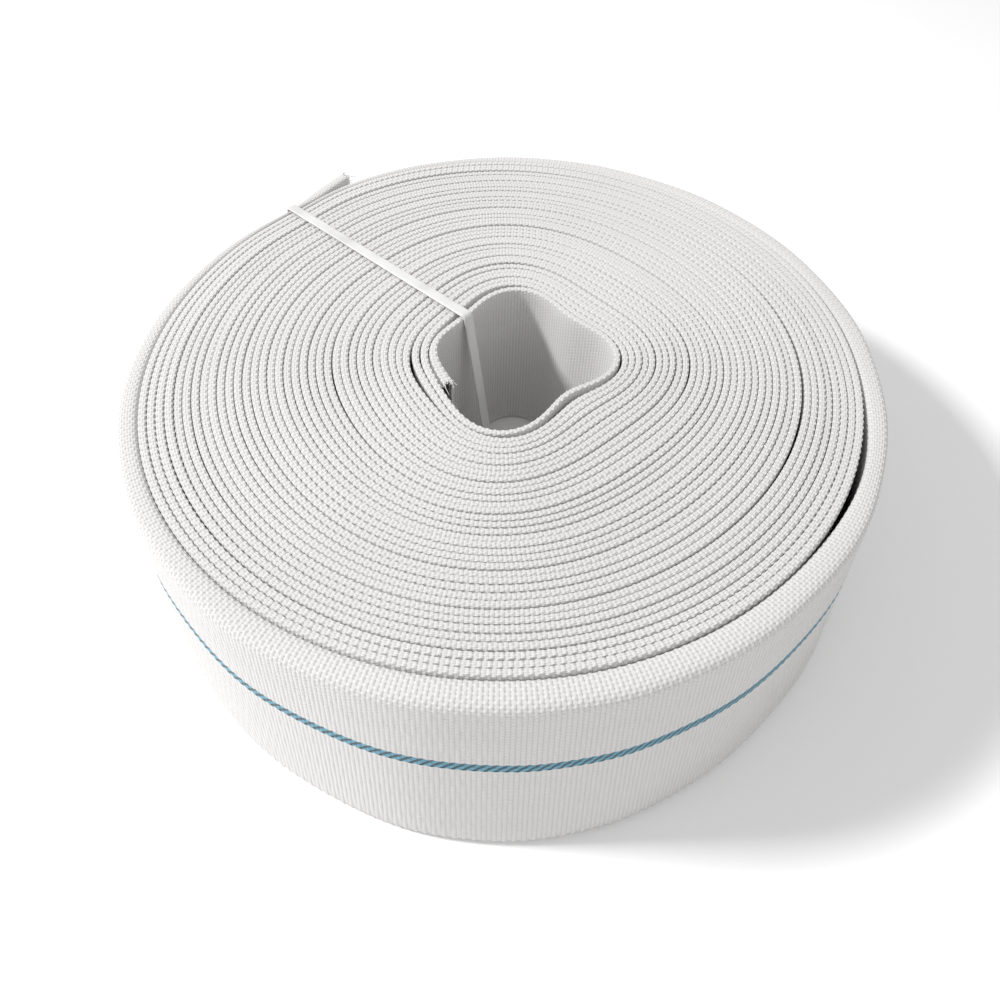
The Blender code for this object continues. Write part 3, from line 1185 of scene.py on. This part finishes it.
@dataclass
class Fraying:
    """Yarn ends that stand out of a cut edge: short bent threads, each five-sided."""

    count: int = 70
    radius: float = 0.22 * MM
    longest: float = 4.0 * MM
    rings: int = 5
    sides: int = 5
    seed: int = 11

    def build(
        self,
        name: str,
        rim: Array,
        heading: Array,
        material: bpy.types.Material,
    ) -> bpy.types.Object:
        """Stand yarns on a rim.

        A yarn is a quadratic curve: it starts along the heading and falls away by a random
        bend. Its radius tapers by a third.

        Args:
            name: the piece's name.
            rim: closed loop of points that the yarns start from.
            heading: unit direction that they stand out in.
            material: their finish.

        Returns:
            The piece.
        """
        chance = np.random.default_rng(self.seed)
        share = np.sort(chance.uniform(0.0, len(rim) - 1.0, self.count))
        before = np.floor(share).astype(int)
        mixed = (share - before)[:, None]
        root = rim[before] * (1.0 - mixed) + rim[(before + 1) % len(rim)] * mixed
        root = root - heading * 0.4 * MM
        length = self.longest * chance.beta(1.3, 3.0, self.count) + 0.8 * MM
        bend = chance.normal(0.0, 0.42, (self.count, 3))
        t = np.linspace(0.0, 1.0, self.rings)[None, :, None]
        spine = root[:, None, :] + length[:, None, None] * (
            t * heading[None, None, :] + t ** 2 * bend[:, None, :]
        )
        run = np.gradient(spine, axis=1)
        run /= np.linalg.norm(run, axis=2)[..., None]
        side = np.cross(run, np.array((0.31, 0.52, 0.80)))
        side /= np.linalg.norm(side, axis=2)[..., None]
        other = np.cross(run, side)
        turn = np.arange(self.sides) * TAU / self.sides
        thick = self.radius * (1.0 - 0.33 * t)[..., None]
        ring = spine[:, :, None, :] + thick * (
            np.cos(turn)[None, None, :, None] * side[:, :, None, :]
            + np.sin(turn)[None, None, :, None] * other[:, :, None, :]
        )
        return self.mesh(name, ring, material)

    def mesh(self, name: str, ring: Array, material: bpy.types.Material) -> bpy.types.Object:
        """Join the yarns' rings into closed threads in one piece."""
        yarns = ring.shape[0]
        index = np.arange(yarns * self.rings * self.sides)
        index = index.reshape(yarns, self.rings, self.sides)
        beside = np.roll(index, -1, axis=2)
        quads = np.stack(
            (index[:, :-1], beside[:, :-1], beside[:, 1:], index[:, 1:]), axis=-1
        ).reshape(-1, 4)
        faces = quads.tolist() + index[:, 0, ::-1].tolist() + index[:, -1].tolist()
        points = settled(ring.reshape(-1, 3))
        if signed_volume(points, quads) < 0.0:
            faces = [face[::-1] for face in faces]
        mesh = bpy.data.meshes.new(name)
        mesh.from_pydata(points.tolist(), [], faces)
        mesh.materials.append(material)
        uv = mesh.uv_layers.new(name="weave")
        uv.uv.foreach_set("vector", np.zeros(len(mesh.loops) * 2))
        piece = bpy.data.objects.new(name, mesh)
        bpy.context.scene.collection.objects.link(piece)
        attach(piece, BODY)
        log.info("%s: %d yarns", name, yarns)
        return piece


# ---------------------------------------------------------------- the cable tie


@dataclass
class CableTie:
    """A self-locking nylon tie: a strap round the winding, and the head that grips it.

    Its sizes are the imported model's. The two reaches are how far the strap's middle lies
    from the roll's axis, at the top of the core and outside the winding.
    """

    shift: Array
    direction: float = math.radians(139.0)
    width: float = 4.8 * MM
    thickness: float = 1.2 * MM
    bend: float = 1.8 * MM
    tip_bend: float = 1.3 * MM
    inner_reach: float = 16.81 * MM
    outer_reach: float = 143.79 * MM
    lean: float = 14.0 * MM
    low: float = 0.7 * MM
    high: float = 84.9 * MM
    middle: float = 42.0 * MM
    strap_starts: float = 1.8 * MM
    strap_leaves: float = 5.4 * MM
    strap_meets: float = 10.1 * MM
    slot_clearance: float = 0.35 * MM
    slot_drop: float = 1.2 * MM
    tip_stub: float = 0.6 * MM
    head_width: float = 8.2 * MM
    head_height: float = 7.2 * MM
    head_depth: float = 5.4 * MM

    @property
    def head_inside(self) -> float:
        """How far out the head's inner face lies, clear of the strap."""
        return self.outer_reach + self.thickness / 2 + self.slot_clearance

    def corners(self) -> Array:
        """The route's corners: up out of the head, over, down the core, back and through."""
        root = self.head_inside + self.thickness
        slot = self.middle - self.slot_drop
        return np.array((
            (root, self.middle + self.strap_starts),
            (root, self.middle + self.strap_leaves),
            (self.outer_reach, self.middle + self.strap_meets),
            (self.outer_reach, self.high),
            (self.inner_reach, self.high),
            (self.inner_reach - self.lean, self.low),
            (self.outer_reach, self.low),
            (self.outer_reach, slot),
            (self.head_inside + self.head_depth + self.tip_stub, slot),
        ))

    def route(self) -> Array:
        """Round the path's corners with arcs that touch both of its sides.

        Returns:
            Points in the tie's plane, outwards and upwards.
        """
        corners = self.corners()
        points = [corners[:1]]
        for k in range(1, len(corners) - 1):
            before, here, after = corners[k - 1: k + 2]
            back = (before - here) / np.linalg.norm(before - here)
            on = (after - here) / np.linalg.norm(after - here)
            opening = math.acos(float(np.clip(back @ on, -1.0, 1.0)))
            radius = self.tip_bend if k == len(corners) - 2 else self.bend
            reach = radius / math.tan(opening / 2)
            middle = here + (back + on) / np.linalg.norm(back + on) * radius / math.sin(
                opening / 2
            )
            begin, finish = here + back * reach - middle, here + on * reach - middle
            first = math.atan2(begin[1], begin[0])
            sweep = math.atan2(
                begin[0] * finish[1] - begin[1] * finish[0], float(begin @ finish)
            )
            turn = first + sweep * np.linspace(0.0, 1.0, 9)
            points.append(middle + radius * np.stack((np.cos(turn), np.sin(turn)), axis=-1))
        points.append(corners[-1:])
        return np.concatenate(points)

    def stand(self, flat: Array, sideways: Array) -> Array:
        """Turn points of the tie's plane, and distances out of it, into places."""
        ray = np.array((math.cos(self.direction), math.sin(self.direction)))
        side = np.array((-ray[1], ray[0]))
        ground = self.shift + flat[..., :1] * ray + sideways[..., None] * side
        return np.concatenate((ground, flat[..., 1:]), axis=-1)

    def strap(self, material: bpy.types.Material) -> bpy.types.Object:
        """Carry a flat section with rounded edges along the route.

        Args:
            material: its finish.

        Returns:
            The strap.
        """
        rough = self.route()
        step = np.linalg.norm(np.diff(rough, axis=0), axis=1)
        length = np.concatenate(([0.0], np.cumsum(step)))
        extra = np.arange(0.0, length[-1], 3.0 * MM)
        places = np.unique(np.round(np.concatenate((length, extra)), 6))
        path = np.stack([np.interp(places, length, rough[:, k]) for k in (0, 1)], axis=-1)
        run = np.gradient(path, axis=0)
        run /= np.linalg.norm(run, axis=1)[:, None]
        out = np.stack((-run[:, 1], run[:, 0]), axis=-1)
        turn = np.linspace(0.0, TAU, 25)[:-1]
        wide = self.width / 2 * soft_power(np.cos(turn), 0.35)
        thick = self.thickness / 2 * soft_power(np.sin(turn), 0.55)
        flat = path[:, None, :] + out[:, None, :] * thick[None, :, None]
        rings = self.stand(flat, np.broadcast_to(wide, flat.shape[:2]))
        around = np.linspace(0.0, 2.0 * (self.width + self.thickness), 25)
        piece = tube("cable_tie_strap", rings, places, around, material)
        return self.dress(piece)

    def head(self, material: bpy.types.Material) -> bpy.types.Object:
        """Mould the head: a tapered block with rounded edges.

        Its section is a superellipse whose size swells over a quarter ellipse at each end.

        Args:
            material: its finish.

        Returns:
            The head.
        """
        middle = np.array((self.head_inside + self.head_depth / 2, self.middle))
        half = np.array((self.head_depth, self.head_height)) / 2
        t = np.linspace(-1.0, 1.0, 25)
        rounding = (1.0 - np.abs(t) ** 7) ** (1.0 / 7.0)
        rounding = np.maximum(rounding, 0.02)
        turn = np.linspace(0.0, TAU, 41)[:-1]
        wide = self.head_width / 2 * soft_power(np.cos(turn), 0.32)[None, :] * rounding[:, None]
        tall = half[1] * soft_power(np.sin(turn), 0.32)[None, :] * rounding[:, None]
        deep = np.broadcast_to((middle[0] + half[0] * t)[:, None], tall.shape)
        flat = np.stack((deep, middle[1] + tall), axis=-1)
        rings = self.stand(flat, wide)
        around = np.linspace(0.0, 4.0 * self.head_width, 41)
        return self.dress(tube("cable_tie_head", rings, t, around, material))

    def dress(self, piece: bpy.types.Object) -> bpy.types.Object:
        """Say what the piece rides on, hide the imported tie, and log the piece's faces."""
        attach(piece, BODY)
        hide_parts("cable_tie")
        log.info("%s: %d faces", piece.name, len(piece.data.polygons))
        return piece


# ---------------------------------------------------------------- camera, light and floor


@dataclass(frozen=True)
class Studio:
    """A camera above the front, looking down into the roll, in soft light from the left."""

    top: float = 84.0 * MM
    distance: float = 319.0 * MM
    elevation: float = math.radians(43.0)
    lens: float = 28.22
    roll: float = math.radians(1.1)
    shift: tuple[float, float] = (0.0021, -0.1613)
    floor: float = 8.0

    def camera(self) -> bpy.types.Object:
        """Set the camera up and make it the scene's.

        Returns:
            The camera.
        """
        data = bpy.data.cameras.new("camera")
        data.lens = self.lens
        data.sensor_width = 36.0
        data.shift_x, data.shift_y = self.shift
        data.clip_start = 0.01
        camera = bpy.data.objects.new("camera", data)
        place = Vector((
            0.0,
            -self.distance * math.cos(self.elevation),
            self.top + self.distance * math.sin(self.elevation),
        ))
        turn = Matrix.Rotation(math.pi / 2 - self.elevation, 4, "X")
        spin = Matrix.Rotation(self.roll, 4, "Z")
        camera.matrix_world = Matrix.Translation(place) @ turn @ spin
        bpy.context.scene.collection.objects.link(camera)
        bpy.context.scene.camera = camera
        return camera

    def light(self, name: str, place: Sequence[float], size: float, power: float) -> None:
        """Hang a square soft light that faces the roll.

        Args:
            name: the light's name.
            place: where it hangs.
            size: its side.
            power: its power in watts.
        """
        data = bpy.data.lights.new(name, "AREA")
        data.shape = "SQUARE"
        data.size = size
        data.energy = power
        lamp = bpy.data.objects.new(name, data)
        where = Vector(place)
        aim = (Vector((0.0, 0.0, 0.04)) - where).to_track_quat("-Z", "Y")
        lamp.matrix_world = Matrix.Translation(where) @ aim.to_matrix().to_4x4()
        bpy.context.scene.collection.objects.link(lamp)

    def build(self) -> None:
        """Lay the floor, hang the lights and set the surroundings."""
        half = self.floor / 2
        mesh = bpy.data.meshes.new("floor")
        corners = [(-half, -half, 0), (half, -half, 0), (half, half, 0), (-half, half, 0)]
        mesh.from_pydata(corners, [], [(0, 1, 2, 3)])
        mesh.materials.append(StudioPaper("studio_paper").material())
        floor = bpy.data.objects.new("floor", mesh)
        floor.location = (0.0, 0.0, -0.35 * MM)
        bpy.context.scene.collection.objects.link(floor)
        self.light("key", (-1.38, 0.06, 1.34), 0.26, 33.0)
        self.light("fill", (-0.6, -1.4, 1.0), 1.6, 1.0)
        world = bpy.data.worlds.new("surroundings")
        world.use_nodes = True
        sky = world.node_tree.nodes["Background"]
        sky.inputs["Color"].default_value = shade(1.0, 1.0, 1.0)
        sky.inputs["Strength"].default_value = 0.67
        bpy.context.scene.world = world
        view = bpy.context.scene.view_settings
        view.view_transform = "Standard"
        view.look = "None"


# ---------------------------------------------------------------- the whole thing


def bare_outline(winding: Winding, hose: WoundHose) -> tuple[Array, Array]:
    """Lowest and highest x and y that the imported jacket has, before it is centred.

    Args:
        winding: the spiral.
        hose: sizes of the loose turn and the tail.

    Returns:
        The two corners.
    """
    turn = np.linspace(winding.tie_turn - 1.0, winding.tie_turn, 4 * hose.samples)
    growth = hose.outer_growth(turn) / 2
    slack = hose.outer_slack * hump(turn, winding.tie_turn - 1.0, winding.tie_turn)
    points = winding.centre(turn, growth + slack)
    _, outward = directions(points)
    edge = points + outward * (winding.flat_thickness / 2 + growth)[:, None]
    leave = points[-1] - points[-2]
    heading = math.atan2(leave[1], leave[0]) + winding.tail_kick
    ray = np.array((math.cos(heading), math.sin(heading)))
    side = np.array((-ray[1], ray[0]))
    tip = points[-1] + ray * winding.tail_length
    tips = np.stack((tip + side * winding.tail_mouth / 2, tip - side * winding.tail_mouth / 2))
    edge = np.concatenate((edge, tips))
    return edge.min(axis=0), edge.max(axis=0)


def main() -> None:
    """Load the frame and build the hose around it."""
    logging.basicConfig(level=logging.INFO, format="%(name)s: %(message)s")
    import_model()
    studio = Studio()
    studio.camera()

    low, high = bare_outline(Winding(), WoundHose(Winding(), np.zeros(2)))
    winding = Winding(gaps=loose_places(Winding()))
    box = np.array(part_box("woven_jacket"))[:, :2]
    shift = box.mean(axis=0) - (low + high) / 2
    log.info("centred by %.2f, %.2f mm", *(shift / MM))

    hose = WoundHose(winding, shift)
    weave = WovenPolyester("woven_polyester", marker=True).material()
    yarn = WovenPolyester("loose_yarn").material()
    rubber = PvcLining("pvc_lining").material()
    nylon = Nylon("natural_nylon").material()
    jacket = hose.build(weave)
    for piece in jacket:
        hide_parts("woven_jacket")

    turns, outer = hose.turns(), hose.outer()
    lining = Lining(hose)
    tail = lining.build("lining_tail", outer, Mouth.LAST, rubber)
    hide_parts("lining_tail_end")
    core = lining.build("lining_core", turns, Mouth.FIRST, rubber)
    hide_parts("lining_core_end")

    for name, stretch, end, seed in (
        ("frayed_core_end", turns, 0, 11), ("frayed_tail_end", outer, -1, 23)
    ):
        some = stretch.part(slice(0, 3) if end == 0 else slice(-3, None))
        rim = hose.shape.place(some, hose.shape.outline(some, Fineness(24, 20, 12), 0.3 * MM))
        along, _ = directions(some.points)
        heading = np.append(along[end] * (-1.0 if end == 0 else 1.0), 0.0)
        fray = Fraying(seed=seed).build(name, rim[end], heading, yarn)

    tie = CableTie(shift)
    tie.strap(nylon)
    tie.head(nylon)
    studio.build()


if __name__ == "__main__":
    main()
